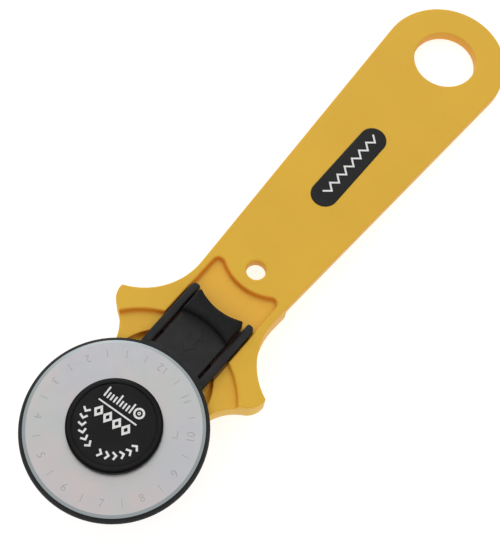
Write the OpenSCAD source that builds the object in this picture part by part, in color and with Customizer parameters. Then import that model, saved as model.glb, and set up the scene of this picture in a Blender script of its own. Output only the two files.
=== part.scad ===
// Rotary cutter for cloth, with a 45 mm round blade and a sliding blade guard.
// It is drawn about the hub: the blade's axis is Z, the handle runs along +X,
// and z = 0 is the middle of the blade. place() then moves it to stand on z = 0.

/* [Blade] */
// Diameter of the round blade
blade_d = 45; // [44:0.5:46]
// Thickness of the blade
blade_t = 0.3; // [0.25:0.05:0.4]
// Width of the ground bevel at the cutting edge
bevel_w = 0.8; // [0.5:0.1:1.5]
// Diameter of the blade's centre hole
blade_hole_d = 8; // [7.8:0.1:8.2]

/* [Handle] */
// Distance from the hub to the centre of the round end
end_x = 140.9; // [130:0.1:150]
// Radius of the round end
end_r = 17.8; // [17:0.1:19]
// Angle at which each side of the grip tapers
taper = 3.37; // [3:0.01:3.6]
// Thickness of the grip
grip_t = 3.4; // [3:0.1:4.5]
// Thickness of the head along its middle, behind the blade
head_t = 8; // [7.9:0.1:9]
// Thickness of the head's two wings
wing_t = 7.4; // [6:0.1:7.8]
// Distance from the hub to the hang hole
hang_x = 141.7; // [140:0.1:143]
// Radius of the hang hole
hang_r = 8.9; // [6:0.1:10]
// Distance from the hub to the small cord hole
cord_hole_x = 55.6; // [55.4:0.1:60]
// Radius of the cord hole
cord_hole_r = 2.6; // [1.5:0.1:2.6]

/* [Guard] */
// How far the guard stands out past the blade
guard_over = 1.1; // [0.8:0.1:1.2]
// Thickness of the guard's disc
guard_t = 2; // [1.8:0.1:2]
// How far the guard slides back
guard_travel = 9; // [6:0.5:9]
// Distance from the hub to the ends of the two rails
rail_end_x = 42.5; // [42:0.1:42.7]
// Half of the width of the spring tongue
tongue_half = 7.2; // [6:0.1:7.4]

/* [Hub] */
// Radius of the bolt's plastic cap
cap_r = 12; // [10:0.1:13]
// Height of the cap above its underside
cap_h = 2.3; // [2.2:0.1:3]
// Diameter of the bolt's thread
bolt_d = 6; // [5.8:0.1:6]
// Distance from one thread crest to the next
pitch = 1; // [0.8:0.1:1]
// Radius of the nut knob
nut_r = 10; // [9:0.5:11]
// Height of the nut knob
nut_h = 6; // [5.5:0.5:7]
// Number of finger scallops round the knob
nut_scallops = 16; // [10:1:20]

/* [Badge] */
// Length of the badge on the grip
badge_l = 29.4; // [20:0.1:34]
// Width of the badge
badge_w = 7.6; // [6:0.1:9]
// Distance from the hub to the middle of the badge
badge_x = 95.9; // [85:0.1:105]

/* [Hidden] */
$fn = 96;
cut = 0.01;            // how far a cutter runs past the face that it opens
fit = 0.05;            // radial clearance of a running fit
gap = 0.15;            // clearance between faces that slide on each other
snug = 0.02;           // clearance round a pressed-in or moulded-in piece
black = [0.12, 0.12, 0.13];
yellow = [0.85, 0.68, 0.26];
steel = [0.78, 0.77, 0.78];
brass = [0.78, 0.62, 0.32];

// Levels, from the blade down
blade_r = blade_d / 2;
cap_z = blade_t / 2 + fit;
guard_top = -blade_t / 2 - 0.2;
guard_bottom = guard_top - guard_t;
floor_z = guard_bottom - gap;          // floor that the guard slides on
front_z = -1.15;                       // front face of the handle
head_back = front_z - head_t;
grip_back = front_z - grip_t;
wing_back = front_z - wing_t;
seat_depth = 0.8;
seat_z = head_back + seat_depth;       // floor of the round seat for the washer
washer_t = 0.5;
washer_h = 1.35;                       // height of the bowed washer as it is clamped
nut_top = seat_z - washer_h;
nut_bottom = nut_top - nut_h;
bolt_end = nut_bottom + 0.8;

// Handle outline, upper half: nose, front hollow, wing lobe, wing tip, neck hollow
nose_r = 14.9;
lobe = [29.5, 18.5];
lobe_r = 5.5;
tip_r = 0.5;
hollow_r = 13;
neck_r = 18.5;
neck_x = 47;
neck_lift = 0.16;                      // how far the neck stands out of the grip's side line
thick_end_x = 52.6;                    // the head is thick as far as here
spine_half = 13.4;                     // and thickest within this distance of the centre line
wing_half = lobe[1] + lobe_r + 1;      // past the wings
front_hollow = [lobe[0] - sqrt(pow(hollow_r + lobe_r, 2) - pow(nose_r + hollow_r - lobe[1], 2)),
                nose_r + hollow_r];
side_point = [end_x - end_r * sin(taper), end_r * cos(taper)];
neck_hollow = [neck_x, side_point[1] - (side_point[0] - neck_x) * tan(taper) + neck_r / cos(taper)
               + neck_lift];
tip = meet(lobe, lobe_r - tip_r, neck_hollow, neck_r + tip_r, 1);

// Pockets in the head
guard_r = blade_r + guard_over;
disc_pocket_r = guard_r + 1;
channel_half = 10.4;
channel_corner_r = 1.6;
channel_bulge_r = 14.2;
channel_bulge = [63.8, 0];
channel_corner = [channel_bulge[0] - sqrt(pow(channel_bulge_r + channel_corner_r, 2)
                  - pow(channel_half - channel_corner_r, 2)), channel_half - channel_corner_r];
deep_pocket_x = 16;
deep_pocket_r = 14;
deep_pocket_floor = -4;
boss_r = 9;
seat_r = nut_r + 1.5;                  // round seat for the washer and the nut knob
badge_fit = 0.05;                      // clearance all round the badge
badge_depth = 0.6;
badge_stand = 0.15;                    // how far the badge stands out of the grip

// Detent: a bump under the guard's tongue, in a groove with a ridge across it
detent_x = 28.5;
detent_half = 1.8;
detent_len = 1.8;
detent_h = 0.7;
groove_depth = 0.8;
groove_side = 0.4;                     // clearance on each side of the bump
ridge_r = 0.2;

// Guard stem
rail_in = 8;
rail_out = 10.15;
rail_corner_r = 1.2;
rail_top = -blade_t / 2;
root_r = 24.5;                         // the disc widens to this radius where the stem leaves it
tongue_top = guard_top - 0.2;
tongue_bottom = guard_bottom + 0.4;
pad_top = 2;
pad_round = 2;
pad_turn_x = 14.6;                     // the pad's front wall curves about this point
pad_front_r = 20.8;
pad_end_r = 16;
pad_end_x = 39.8;
pad_reach = 12;                        // longer than the pad
arrow_x = 29.9;
arrow_h = 0.18;

// Hub
hub_r = blade_hole_d / 2 - fit;
shank_r = bolt_d / 2 - fit;
flat_half = 2.4;
hex_r = 5.2;
hex_top = cap_z + cap_h - 0.7;
hex_bottom = cap_z + 0.3;
insert_r = 5.2;
insert_bottom = nut_bottom + 1.02;
washer_r = 7;
thread_depth = 0.42;

middle_x = (end_x + end_r - guard_r) / 2;

// One of the two points where two circles meet; side is 1 or -1
function meet(c1, r1, c2, r2, side) =
    let (d = norm(c2 - c1),
         u = (c2 - c1) / d,
         a = (r1 * r1 - r2 * r2 + d * d) / (2 * d),
         h = sqrt(r1 * r1 - a * a))
    c1 + a * u + side * h * [-u[1], u[0]];

// Points on an arc, both ends included, about one every step degrees
function arc(c, r, from, to, step = 4) =
    let (n = max(2, ceil(abs(to - from) / step)))
    [for (i = [0:n]) c + r * [cos(from + (to - from) * i / n), sin(from + (to - from) * i / n)]];

function angle_to(from, to) = atan2(to[1] - from[1], to[0] - from[0]);
function flipped(points) =
    [for (i = [len(points) - 1:-1:0]) if (abs(points[i][1]) > 0.001) [points[i][0], -points[i][1]]];
function both_sides(points) = concat(points, flipped(points));

module place() {
    translate([-middle_x, 0, -nut_bottom]) children();
}

module slab(z0, z1) {
    translate([0, 0, z0]) linear_extrude(z1 - z0) children();
}

// A bar with round ends, along X
module bar_2d(length, width) {
    half = (length - width) / 2;
    polygon(concat(arc([half, 0], width / 2, -90, 90, 6), arc([-half, 0], width / 2, 90, 270, 6)));
}

module handle_outline() {
    upper = concat(
        arc([0, 0], nose_r, 180, 90),
        arc(front_hollow, hollow_r, -90, angle_to(front_hollow, lobe)),
        arc(lobe, lobe_r, angle_to(lobe, front_hollow), angle_to(lobe, tip), 6),
        arc(tip, tip_r, angle_to(lobe, tip), angle_to(tip, neck_hollow), 12),
        arc(neck_hollow, neck_r, angle_to(neck_hollow, tip) + 360, 270 + taper),
        arc([end_x, 0], end_r, 90 + taper, 0, 3));
    polygon(both_sides(upper));
}

// Plan of the channel that the guard's stem slides in, with its bulged end
module channel_2d() {
    start = [0, channel_half];
    corner = arc(channel_corner, channel_corner_r, 90, angle_to(channel_corner, channel_bulge), 10);
    bulge = arc(channel_bulge, channel_bulge_r, angle_to(channel_bulge, channel_corner), 180, 3);
    polygon(both_sides(concat([start], corner, bulge)));
}

// Section of the bolt, which is round with two flats
module keyed_2d(r, half) {
    intersection() {
        circle(r = r);
        square([3 * r, 2 * half], center = true);
    }
}

module detent_groove() {
    travelled = detent_x + guard_travel;
    ridge_x = (detent_x + travelled) / 2;
    difference() {
        translate([detent_x, -detent_half - groove_side, floor_z - groove_depth])
            cube([guard_travel + detent_len, 2 * (detent_half + groove_side), groove_depth + cut]);
        translate([ridge_x, 0, floor_z - groove_depth])
            rotate([90, 0, 0])
                cylinder(r = ridge_r, h = 2 * detent_half, center = true);
    }
}

// The part of the outline within half of the centre line and short of thick_end_x
module head_outline(half) {
    intersection() {
        handle_outline();
        translate([-2 * nose_r, -half]) square([thick_end_x + 2 * nose_r, 2 * half]);
    }
}

module handle() color(yellow) place() difference() {
    union() {
        slab(grip_back, front_z) handle_outline();
        slab(wing_back, grip_back + cut) head_outline(wing_half);
        slab(head_back, wing_back + cut) head_outline(spine_half);
    }
    slab(floor_z, 0) translate([guard_travel, 0]) circle(r = disc_pocket_r);
    slab(floor_z, 0) channel_2d();
    slab(deep_pocket_floor, floor_z + cut) difference() {
        translate([deep_pocket_x, 0]) circle(r = deep_pocket_r);
        circle(r = boss_r);
    }
    detent_groove();
    slab(head_back - cut, 0) keyed_2d(shank_r + 2 * fit, flat_half + fit);
    slab(head_back - cut, seat_z) circle(r = seat_r);
    slab(grip_back - cut, 0) translate([hang_x, 0]) circle(r = hang_r);
    slab(grip_back - cut, 0) translate([cord_hole_x, 0]) circle(r = cord_hole_r);
    slab(front_z - badge_depth, 0)
        translate([badge_x, 0]) bar_2d(badge_l + 2 * badge_fit, badge_w + 2 * badge_fit);
}

module handle_badge() color(black) place()
    slab(front_z - badge_depth, front_z + badge_stand)
        translate([badge_x, 0]) bar_2d(badge_l, badge_w);

module guard_disc() {
    edge = guard_t / 2;
    rotate_extrude() {
        translate([0, guard_bottom]) square([guard_r - edge, guard_t]);
        translate([guard_r - edge, guard_bottom + edge]) circle(r = edge);
    }
}

// Where the stem leaves the disc, the rim is wider
module guard_root() {
    slab(guard_bottom, guard_top) intersection() {
        circle(r = root_r);
        translate([guard_r / 2, -rail_out]) square([guard_r, 2 * rail_out]);
    }
}

module guard_rails() {
    start_x = sqrt(pow(root_r, 2) - pow(rail_out, 2)) - 0.3;
    corner = [rail_end_x - rail_corner_r, rail_out - rail_corner_r];
    outline = concat([[start_x, rail_in], [start_x, rail_out]],
                     arc(corner, rail_corner_r, 90, 0, 10),
                     [[rail_end_x, rail_in]]);
    slab(guard_bottom, rail_top) {
        polygon(outline);
        polygon(flipped(outline));
    }
}

function tongue_end() =
    let (centre = [pad_end_x + pad_end_r, 0],
         half = asin(tongue_half / pad_end_r))
    arc(centre, pad_end_r, 180 - half, 180 + half, 4);

module tongue_2d(from_x) {
    polygon(concat([[from_x, -tongue_half], [from_x, tongue_half]], tongue_end()));
}

// Double-headed arrow that shows which way the guard slides
module arrow_2d() {
    half = [[3.9, 0], [1, 2.3], [1, 1.2]];
    translate([arrow_x, 0])
        polygon(concat(half, [[-1, 1.2], [-1, 2.3], [-3.9, 0]],
                       [[-1, -2.3], [-1, -1.2], [1, -1.2], [1, -2.3]]));
}

module guard_pad() {
    corner = [pad_front_r + pad_round, pad_top - pad_round];
    profile = concat([[pad_front_r, tongue_top - cut]],
                     arc(corner, pad_round, 180, 90, 10),
                     [[pad_front_r + pad_reach, pad_top], [pad_front_r + pad_reach, tongue_top - cut]]);
    intersection() {
        slab(tongue_top - cut, pad_top + cut) tongue_2d(arrow_x);
        translate([pad_turn_x, 0, 0]) rotate_extrude() polygon(profile);
    }
}

module blade_guard() color(black) place() difference() {
    union() {
        guard_disc();
        guard_root();
        guard_rails();
        slab(tongue_bottom, tongue_top) tongue_2d(guard_r / 2);
        slab(tongue_top - cut, tongue_top + arrow_h) arrow_2d();
        guard_pad();
        translate([detent_x - detent_len / 2, -detent_half, guard_bottom - detent_h + gap])
            cube([detent_len, 2 * detent_half, detent_h + 0.4]);
    }
    slot_r = hub_r + 0.35;
    slab(guard_bottom - cut, 0) {
        circle(r = slot_r);
        translate([-guard_travel, 0]) circle(r = slot_r);
        translate([-guard_travel, -slot_r]) square([guard_travel, 2 * slot_r]);
    }
}

module blade() color(steel) place() rotate_extrude() {
    half = blade_t / 2;
    edge = 0.01;
    polygon([[blade_hole_d / 2, -half], [blade_r - bevel_w, -half], [blade_r, -edge],
             [blade_r, edge], [blade_r - bevel_w, half], [blade_hole_d / 2, half]]);
}

module bolt_cap() color(black) place() difference() {
    top = cap_z + cap_h;
    round_r = 0.9;
    dish_r = 10.2;
    dish = 0.25;
    chamfer = 0.2;
    union() {
        rotate_extrude() polygon(concat(
            [[0, cap_z], [cap_r - chamfer, cap_z], [cap_r, cap_z + chamfer]],
            arc([cap_r - round_r, top - round_r], round_r, 0, 90, 15),
            [[dish_r + 2 * dish, top], [dish_r, top - dish], [0, top - dish]]));
        slab(floor_z, cap_z + cut) circle(r = hub_r);
    }
    slab(floor_z - cut, hex_bottom) circle(r = shank_r + fit);
    slab(hex_bottom - cut, hex_top + snug) circle(r = hex_r + snug, $fn = 6);
}

// Thread crests and roots, drawn as rings, one for each turn
module thread_rings(z0, z1) {
    turns = floor((z1 - z0) / pitch);
    rotate_extrude() polygon(concat(
        [[0, z0], [shank_r - thread_depth, z0]],
        [for (i = [0:turns - 1], k = [0, 1])
            [k == 0 ? shank_r - thread_depth : shank_r, z0 + (i + 0.25 + k / 2) * pitch]],
        [[shank_r - thread_depth, z0 + turns * pitch], [shank_r - thread_depth, z1], [0, z1]]));
}

module bolt_shaft() color(steel) place() {
    thread_top = nut_top - 0.2;
    past = 2 * bolt_d;
    slab(hex_bottom, hex_top) circle(r = hex_r, $fn = 6);
    slab(floor_z, hex_bottom + cut) circle(r = shank_r);
    slab(thread_top, floor_z + cut) keyed_2d(shank_r, flat_half);
    intersection() {
        thread_rings(bolt_end, thread_top + cut);
        translate([-past / 2, -flat_half, bolt_end - 1]) cube([past, 2 * flat_half, past]);
    }
}

// A round washer bowed about a line along Y, with a hole keyed to the bolt's flats
module spring_washer() color(steel) place() {
    bow_r = 30;
    across = 3 * washer_r;
    intersection() {
        translate([0, 0, seat_z - bow_r - cut]) rotate([90, 0, 0]) difference() {
            cylinder(r = bow_r, h = across, center = true);
            cylinder(r = bow_r - washer_t, h = across + 1, center = true);
        }
        slab(nut_top - 1, seat_z + 1) difference() {
            circle(r = washer_r);
            keyed_2d(shank_r + 2 * fit, flat_half + 2 * fit);
        }
    }
}

module nut_knob() color([0.1, 0.1, 0.1]) place() difference() {
    chamfer = 0.7;
    scallop_r = 1.3;
    scallop_out = 0.75 * scallop_r;    // how far a scallop's centre lies outside the knob
    ring_outer = 7.9;
    ring_inner = 5.6;
    ring_depth = 0.5;
    bolt_opening = 4.3;
    rotate_extrude() polygon([
        [0, nut_bottom], [nut_r - chamfer, nut_bottom], [nut_r, nut_bottom + chamfer],
        [nut_r, nut_top - chamfer / 2], [nut_r - chamfer / 2, nut_top], [0, nut_top]]);
    for (i = [0:nut_scallops - 1])
        rotate([0, 0, i * 360 / nut_scallops])
            translate([nut_r + scallop_out, 0, nut_bottom - 1])
                cylinder(r = scallop_r, h = nut_h + 2, $fn = 32);
    slab(nut_bottom - cut, nut_bottom + ring_depth) difference() {
        circle(r = ring_outer);
        circle(r = ring_inner);
    }
    slab(nut_bottom - cut, nut_top) circle(r = bolt_opening);
    slab(insert_bottom - snug, nut_top + cut) circle(r = insert_r + snug, $fn = 6);
}

module nut_insert() color(brass) place()
    slab(insert_bottom, nut_top - fit) difference() {
        circle(r = insert_r, $fn = 6);
        circle(r = shank_r + fit);
    }

handle();
handle_badge();
blade_guard();
blade();
bolt_cap();
bolt_shaft();
spring_washer();
nut_knob();
nut_insert();
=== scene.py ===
import math

import bmesh
import bpy
import numpy as np
from mathutils import Matrix, Vector
from mathutils.geometry import delaunay_2d_cdt


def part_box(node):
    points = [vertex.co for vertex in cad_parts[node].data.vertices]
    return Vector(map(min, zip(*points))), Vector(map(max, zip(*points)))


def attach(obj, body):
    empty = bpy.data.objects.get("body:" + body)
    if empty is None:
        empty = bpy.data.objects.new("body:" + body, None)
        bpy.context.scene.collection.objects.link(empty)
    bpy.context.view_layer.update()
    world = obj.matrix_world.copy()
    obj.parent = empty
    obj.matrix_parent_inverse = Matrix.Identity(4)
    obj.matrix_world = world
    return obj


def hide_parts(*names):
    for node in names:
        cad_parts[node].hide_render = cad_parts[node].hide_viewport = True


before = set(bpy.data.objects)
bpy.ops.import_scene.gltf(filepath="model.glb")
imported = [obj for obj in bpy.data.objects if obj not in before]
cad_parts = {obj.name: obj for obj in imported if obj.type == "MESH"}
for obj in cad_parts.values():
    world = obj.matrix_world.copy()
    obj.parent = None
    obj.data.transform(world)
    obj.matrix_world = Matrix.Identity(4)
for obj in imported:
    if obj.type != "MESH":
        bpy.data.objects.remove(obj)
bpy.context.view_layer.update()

# Shapes are worked out in millimetres about the hub: the blade's axis is Z, z = 0 is the
# middle of the blade, and the handle runs along +X.
MM = 0.001
HUB = sum(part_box("blade"), Vector()) / 2


# Levels. Those of whole nodes come from the frame.
def level(node, corner):
    """Height of a node's underside (0) or top (1) above the middle of the blade."""
    return (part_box(node)[corner].z - HUB.z) / MM


FRONT = -1.15
GRIP_BACK = -4.55
WING_BACK = -8.55
HEAD_BACK = level("handle", 0)
SEAT = HEAD_BACK + 0.8
CAP_TOP = level("bolt_cap", 1)
CAP_UNDER = 0.2
FLOOR = level("bolt_cap", 0)
NUT_TOP = level("nut_knob", 1)
NUT_BOTTOM = level("nut_knob", 0)
BOLT_END = level("bolt_shaft", 0)
GUARD_TOP = -0.35
GUARD_THICK = 2.0
GUARD_BOTTOM = GUARD_TOP - GUARD_THICK
BADGE_TOP = level("handle_badge", 1)
BADGE_BOTTOM = level("handle_badge", 0)

# Handle outline, upper half
TAPER = 3.37
NOSE_R = 14.9
LOBE = np.array([29.5, 18.5])
LOBE_R = 5.5
TIP_R = 0.5
HOLLOW_R = 13.0
NECK_R = 18.5
NECK_X = 47.0
NECK_LIFT = 0.16
END_X = 140.9
END_R = 17.8
HANG_X = 141.7
HANG_R = 8.9
CORD_X = 55.6
CORD_R = 2.6
THICK_END_X = 52.6
SPINE_HALF = 13.4
BADGE_X = 95.9
BADGE_LENGTH = 29.4
BADGE_WIDTH = 7.6
RECESS_GAP = 0.1
RECESS_WALL = 0.04
RECESS_DEPTH = 0.6

# Pockets
POCKET_X = 9.0
POCKET_R = 24.6
CHANNEL_HALF = 10.4
CHANNEL_CORNER_R = 1.6
CHANNEL_BULGE_X = 63.8
CHANNEL_BULGE_R = 14.2
DEEP_X = 16.0
DEEP_R = 14.0
DEEP_DEPTH = 1.5
DEEP_END_Y = 14.6
DEEP_FADE = 3.5
BOSS_R = 9.0
GROOVE_START = 28.5
GROOVE_END = 39.3
GROOVE_HALF = 2.2
GROOVE_DEPTH = 0.8

# Guard
GUARD_R = 23.6
ROOT_R = 24.5
ROOT_START = 15.0
TRAVEL = 9.0
SLOT_GAP = 0.35
RAIL_IN = 8.0
RAIL_OUT = 10.15
RAIL_PLAN_START = 16.0
# The rails rise above the disc only from here on, clear of the blade
RAIL_START = 22.0
RAIL_RISE = 0.4
RAIL_END = 42.5
RAIL_TOP = -0.15
TONGUE_START = 10.0
TONGUE_HALF = 7.2
TONGUE_CORNER_R = 0.5
TONGUE_TOP = -0.55
TONGUE_LIFT = 0.4
PAD_TURN_X = 14.6
PAD_FRONT_R = 20.8
PAD_TOP = 2.0
PAD_END_X = 39.8
PAD_END_R = 16.0
PAD_SWEEP = 25
PAD_WALL = 0.05
DISH_DEPTH = 0.25
DISH_R = PAD_FRONT_R + 3.6
DISH_WIDTH = 1.4
ARROW_X = 29.9
ARROW_HEIGHT = 0.14
ARROW_SLOPE = 0.12
BUMP_X = 28.5
BUMP_LONG = 0.9
BUMP_HALF = 1.8
BUMP_DEPTH = 0.95
BUMP_SLOPE = 0.4

# Hub
BLADE_R = 22.5
BLADE_HALF = 0.15
BLADE_HOLE_R = 4.0
BEVEL_WIDTH = 0.8
DIAL_R = 19.0
ETCH_THICK = 0.008
HUB_R = 3.95
CAP_R = 12.0
CAP_EDGE = 0.9
CAP_RIM_IN = 10.75
CAP_SINK = 0.25
CAP_STEP = 0.12
HEX_R = 5.2
HEX_TOP = CAP_TOP - 0.7
HEX_UNDER = CAP_UNDER + 0.3
SHANK_R = 2.95
FLAT_HALF = 2.4
PITCH = 1.0
NUT_R = 10.0
SCALLOPS = 16
SEAT_R = NUT_R + 1.5


# ---------------------------------------------------------------- outlines

def arc(centre, radius, start, end, step):
    """Points along an arc, about step degrees apart."""
    count = max(2, math.ceil(abs(end - start) / step))
    turn = np.radians(np.linspace(start, end, count + 1))
    return np.column_stack((centre[0] + radius * np.cos(turn), centre[1] + radius * np.sin(turn)))


def circle(centre, radius, count):
    """A full circle as a closed loop."""
    return arc(centre, radius, 0, 360, 360 / count)[:-1]


def angle_to(start, end):
    """Direction from one point to another, in degrees."""
    return math.degrees(math.atan2(end[1] - start[1], end[0] - start[0]))


def meet(c1, r1, c2, r2):
    """The left one of the two points where two circles meet, going from c1 to c2."""
    gap = np.linalg.norm(c2 - c1)
    u = (c2 - c1) / gap
    a = (r1 * r1 - r2 * r2 + gap * gap) / (2 * gap)
    return c1 + a * u + math.sqrt(r1 * r1 - a * a) * np.array([-u[1], u[0]])


def both_sides(upper):
    """Closes an outline whose upper half is given, by mirroring it in the X axis."""
    lower = upper[::-1] * [1, -1]
    return tidy_loop(np.vstack((upper, lower)))


def tidy_loop(points, longest=3.0):
    """Drops doubled points and divides the long straight stretches."""
    out = []
    for here, after in zip(points, np.roll(points, -1, axis=0)):
        gap = np.linalg.norm(after - here)
        if gap > 1e-6:
            count = math.ceil(gap / longest)
            out += [here + (after - here) * k / count for k in range(count)]
    return np.array(out)


def on_circle(radius, angle):
    """The point at an angle, in degrees, on a circle about the hub."""
    t = math.radians(angle)
    return radius * np.array([math.cos(t), math.sin(t)])


def handle_outline(inset=0.0):
    """The handle's outline, moved inwards by inset: every arc keeps its centre."""
    side = np.array([END_X - END_R * math.sin(math.radians(TAPER)),
                     END_R * math.cos(math.radians(TAPER))])
    neck_y = (side[1] - (side[0] - NECK_X) * math.tan(math.radians(TAPER))
              + NECK_R / math.cos(math.radians(TAPER)) + NECK_LIFT)
    neck = np.array([NECK_X, neck_y])
    hollow_y = NOSE_R + HOLLOW_R
    hollow_x = LOBE[0] - math.sqrt((HOLLOW_R + LOBE_R) ** 2 - (hollow_y - LOBE[1]) ** 2)
    hollow = np.array([hollow_x, hollow_y])
    tip = meet(LOBE, LOBE_R - TIP_R, neck, NECK_R + TIP_R)
    return both_sides(np.vstack((
        arc((0, 0), NOSE_R - inset, 180, 90, 3),
        arc(hollow, HOLLOW_R + inset, -90, angle_to(hollow, LOBE), 3),
        arc(LOBE, LOBE_R - inset, angle_to(LOBE, hollow), angle_to(LOBE, tip), 5),
        arc(tip, TIP_R - inset, angle_to(LOBE, tip), angle_to(tip, neck), 10),
        arc(neck, NECK_R + inset, angle_to(neck, tip) + 360, 270 + TAPER, 2.5),
        arc((END_X, 0), END_R - inset, 90 + TAPER, 0, 2.5))))


def hollow_ended(start_x, half, corner_r, bulge_x, bulge_r, inset=0.0):
    """A straight strip along X with rounded corners and an end hollowed by a circle."""
    bulge = np.array([bulge_x, 0.0])
    corner_y = half - corner_r
    corner = np.array([bulge_x - math.sqrt((bulge_r + corner_r) ** 2 - corner_y ** 2), corner_y])
    return both_sides(np.vstack((
        [[start_x, half - inset]],
        arc(corner, corner_r - inset, 90, angle_to(corner, bulge), 8),
        arc(bulge, bulge_r + inset, angle_to(bulge, corner), 180, 2))))


def channel_outline(inset=0.0):
    """The channel that the guard's stem slides in."""
    return hollow_ended(0.0, CHANNEL_HALF, CHANNEL_CORNER_R, CHANNEL_BULGE_X, CHANNEL_BULGE_R, inset)


def stadium(centre_x, length, width, inset=0.0):
    """A strip along X with round ends."""
    half = (length - width) / 2
    r = width / 2 - inset
    return tidy_loop(np.vstack((arc((centre_x + half, 0), r, -90, 90, 6),
                                arc((centre_x - half, 0), r, 90, 270, 6))))


def double_d(radius, half):
    """A round bore with two flats."""
    turn = math.degrees(math.asin(half / radius))
    return tidy_loop(np.vstack((arc((0, 0), radius, -turn, turn, 6),
                                arc((0, 0), radius, 180 - turn, 180 + turn, 6))))


def rectangle(x0, x1, half):
    """A rectangle from x0 to x1, and half to each side of the X axis."""
    return tidy_loop(np.array([[x0, -half], [x1, -half], [x1, half], [x0, half]], float))


# ---------------------------------------------------------------- heights

def depth_in(points, loop):
    """How far each point lies inside a closed outline; negative outside it."""
    nearest = np.full(len(points), np.inf)
    inside = np.zeros(len(points), bool)
    for a, b in zip(loop, np.roll(loop, -1, axis=0)):
        edge = b - a
        along = np.clip((points - a) @ edge / (edge @ edge), 0, 1)
        nearest = np.minimum(nearest, np.sum((points - a - along[:, None] * edge) ** 2, axis=1))
        spans = (a[1] > points[:, 1]) != (b[1] > points[:, 1])
        if a[1] != b[1]:
            inside ^= spans & (points[:, 0] < a[0] + (points[:, 1] - a[1]) * edge[0] / edge[1])
    return np.where(inside, 1, -1) * np.sqrt(nearest)


def depth_in_circle(points, centre, radius):
    """How far each point lies inside a circle; negative outside it."""
    return radius - np.hypot(points[:, 0] - centre[0], points[:, 1] - centre[1])


def rises(value, start, width):
    """0 up to start, and 1 from start + width on."""
    return np.clip((value - start) / width, 0, 1)


def falls(value, end, width):
    """1 up to end - width, and 0 from end on."""
    return np.clip((end - value) / width, 0, 1)


def rounded(depth, radius):
    """How far an edge of this radius has fallen away, at a depth inside the outline."""
    short = np.clip(radius - depth, 0, radius)
    return radius - np.sqrt(radius * radius - short * short)


def sunk(depth, deep, rim, wall, fillet):
    """Depth of a pocket with a rounded rim, a steep wall and a fillet along its floor."""
    over = np.clip(depth + rim, 0, rim)
    up = 1 - np.clip((depth - wall) / fillet, 0, 1)
    return (rim - np.sqrt(rim * rim - over * over)
            + np.clip(depth / wall, 0, 1) * (deep - rim - fillet)
            + fillet * np.sqrt(1 - up * up))


QUARTER = np.radians([0, 20, 42, 66, 90])


def edge_insets(radius):
    """Insets of the rings that a rounded edge needs, and one more to keep its shading in."""
    return list(radius * (1 - np.cos(QUARTER))) + [radius + 0.15]


def pocket_insets(rim, wall, fillet):
    """Insets of the rings that a pocket's edge needs; those below 0 lie outside its outline."""
    return ([-rim - 0.15] + list(-rim + rim * np.sin(QUARTER))
            + list(wall + fillet * (1 - np.cos(QUARTER))) + [wall + fillet + 0.2])


# ---------------------------------------------------------------- meshes

def new_piece(name, verts, faces, material, body, sharp=40, shades=()):
    """Makes a piece from points in millimetres about the hub, and lets it ride on a body.

    shades are named lists with a value for each point, which its material may use.
    """
    mesh = bpy.data.meshes.new(name)
    mesh.from_pydata([HUB + Vector(v) * MM for v in np.asarray(verts, float)], [], faces)
    bm = bmesh.new()
    bm.from_mesh(mesh)
    for shade, values in shades:
        layer = bm.verts.layers.float.new(shade)
        for vert, value in zip(bm.verts, values):
            vert[layer] = value
    bmesh.ops.remove_doubles(bm, verts=bm.verts, dist=2e-7)
    bmesh.ops.dissolve_degenerate(bm, edges=bm.edges, dist=1e-8)
    bmesh.ops.delete(bm, geom=[v for v in bm.verts if not v.link_faces], context="VERTS")
    bmesh.ops.recalc_face_normals(bm, faces=bm.faces)
    bm.to_mesh(mesh)
    bm.free()
    mesh.shade_smooth()
    mesh.set_sharp_from_angle(angle=math.radians(sharp))
    mesh.materials.append(material)
    piece = bpy.data.objects.new(name, mesh)
    bpy.context.scene.collection.objects.link(piece)
    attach(piece, body)
    return piece


def plan_of(loops, depth, spacing):
    """Triangulates a plan so that every loop is an edge of it, where depth(points) is above 0."""
    points = np.vstack(loops)
    edges = []
    first = 0
    for loop in loops:
        count = len(loop)
        edges += [(first + k, first + (k + 1) % count) for k in range(count)]
        first += count
    low, high = points.min(axis=0), points.max(axis=0)
    rows = np.arange(low[1], high[1], spacing * math.sqrt(3) / 2)
    grid = np.array([(x + (k % 2) * spacing / 2, y) for k, y in enumerate(rows)
                     for x in np.arange(low[0], high[0], spacing)])
    grid = grid[depth(grid) > spacing / 2]
    everything = np.vstack((points, grid))
    verts, _, faces, *_ = delaunay_2d_cdt([Vector(p) for p in everything], edges, [], 0, 1e-6)
    plan = np.array([tuple(v) for v in verts])
    faces = np.array(faces)
    faces = faces[depth(plan[faces].mean(axis=1)) > 0]
    a, b, c = (plan[faces[:, k]] for k in range(3))
    turn = (b[:, 0] - a[:, 0]) * (c[:, 1] - a[:, 1]) - (b[:, 1] - a[:, 1]) * (c[:, 0] - a[:, 0])
    faces[turn < 0] = faces[turn < 0][:, ::-1]
    return plan, faces[np.abs(turn) > 1e-9]


def solid_between(plan, faces, top, bottom):
    """Closes the space between two height fields over one plan."""
    count = len(plan)
    verts = np.vstack((np.column_stack((plan, top)), np.column_stack((plan, bottom))))
    directed = {(f[k], f[(k + 1) % 3]) for f in faces for k in range(3)}
    rim = [(a, b) for a, b in directed if (b, a) not in directed]
    walls = [(b, a, a + count, b + count) for a, b in rim]
    under = [tuple(int(v) + count for v in f[::-1]) for f in faces]
    return verts, [tuple(map(int, f)) for f in faces] + under + [tuple(map(int, w)) for w in walls]


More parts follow.
